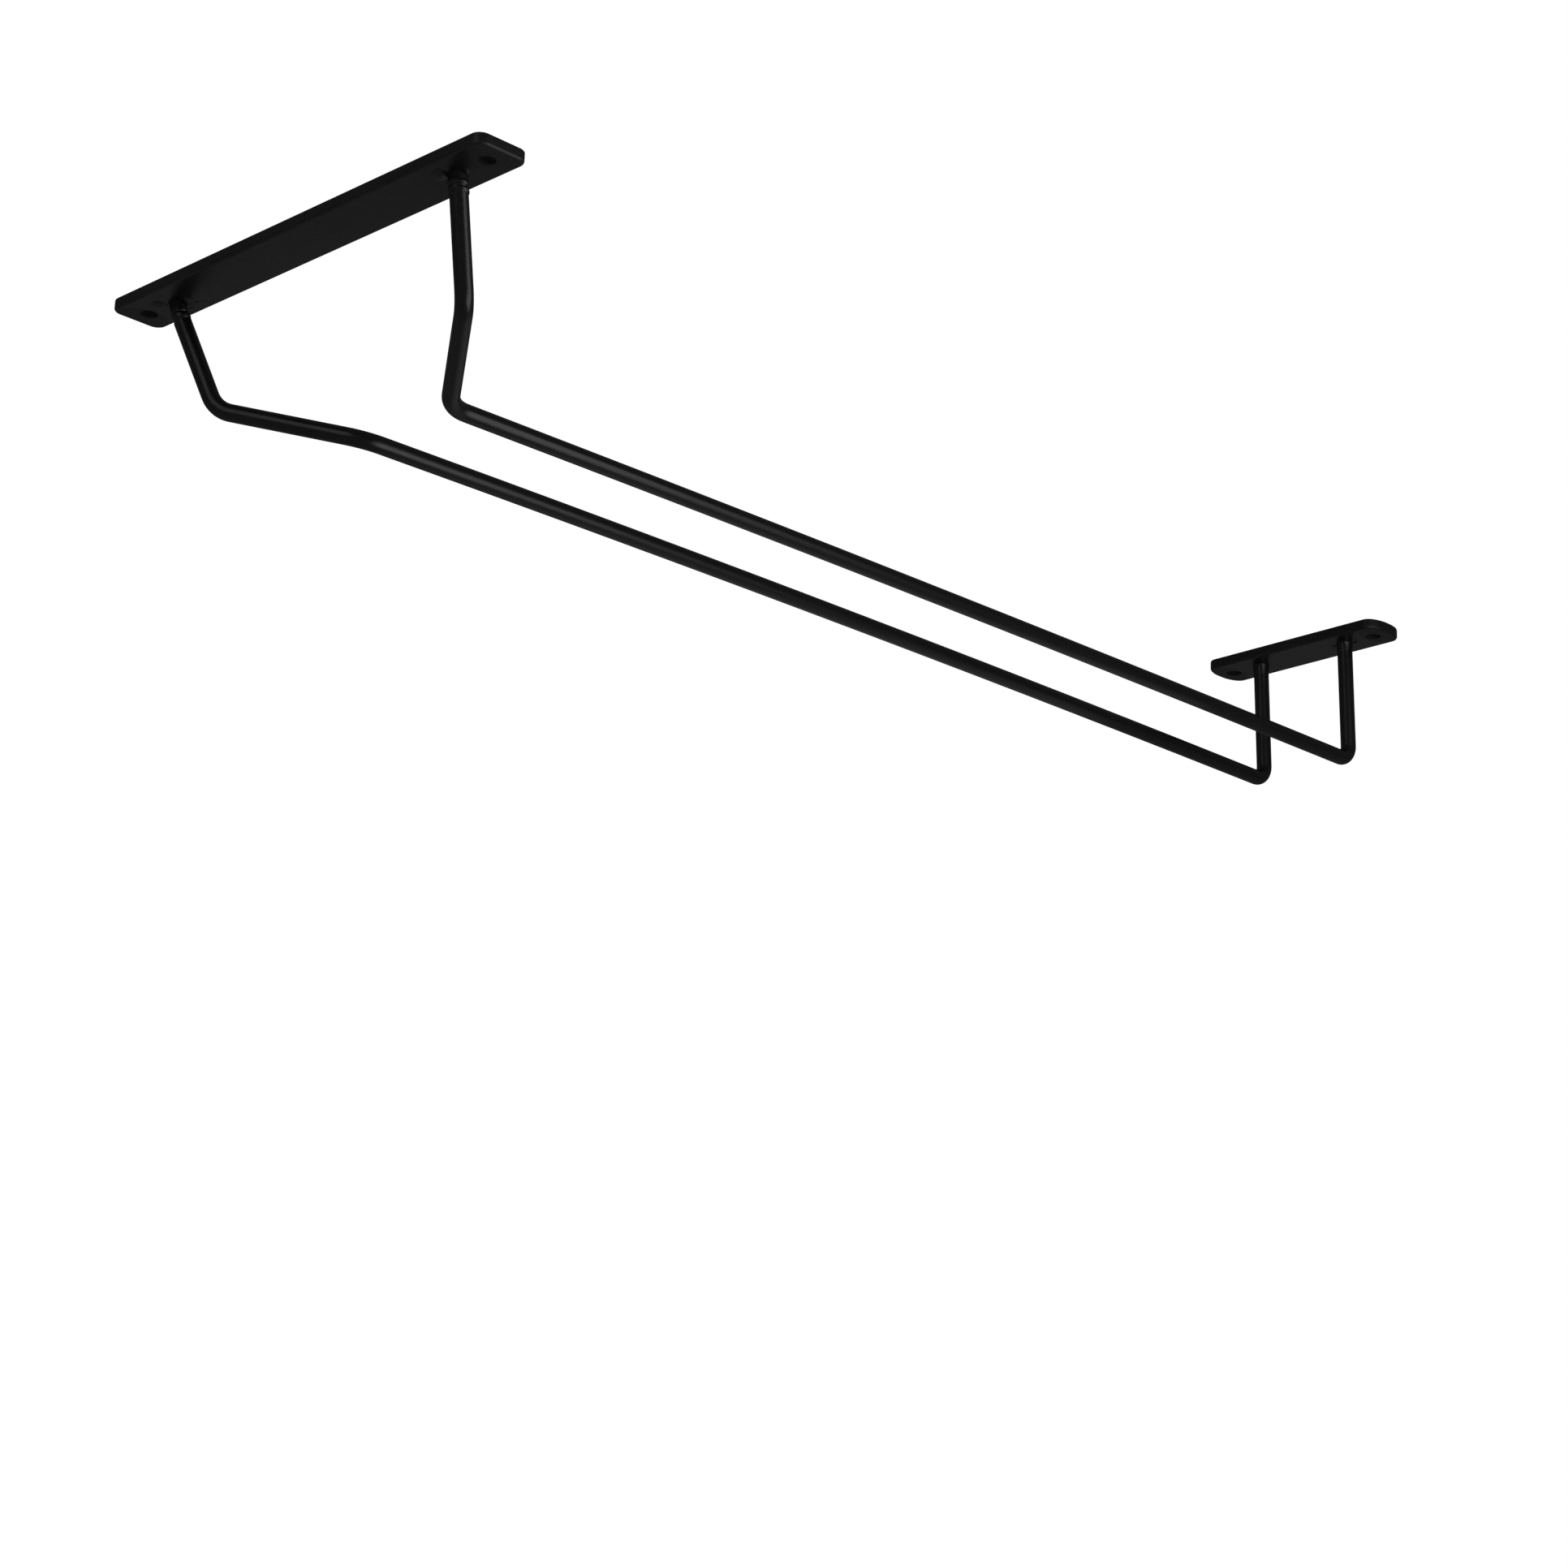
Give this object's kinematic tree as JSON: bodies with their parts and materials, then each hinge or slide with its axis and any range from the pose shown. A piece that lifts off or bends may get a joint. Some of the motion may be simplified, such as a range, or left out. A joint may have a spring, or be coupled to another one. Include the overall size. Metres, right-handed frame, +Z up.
{
  "type": "hanging wine glass rack",
  "caption": "Hanging stemware rack: a wide and a narrow flat steel bar screwed up under a shelf, joined by bent round rods whose parallel rails hold glasses by the foot.",
  "frame": {"origin": "centre of the front bar's top face, which lies against the underside of the shelf", "axes": "+Z up into the shelf, +Y to the rear along the rails, +X to the right seen from the front"},
  "size_m": [0.148, 0.4123, 0.0433],
  "materials": {
    "bar_coat": "satin black powder coat on flat steel bar",
    "rod_coat": "satin black powder coat on round steel rod",
    "weld_coat": "satin black powder coat over rough weld beads"
  },
  "bodies": {
    "root": {"front_bar": "bar_coat", "rear_bar": "bar_coat", "left_rod": "rod_coat", "right_rod": "rod_coat", "front_left_weld": "weld_coat", "front_right_weld": "weld_coat", "rear_left_weld": "weld_coat", "rear_right_weld": "weld_coat"}
  },
  "joints": []
}
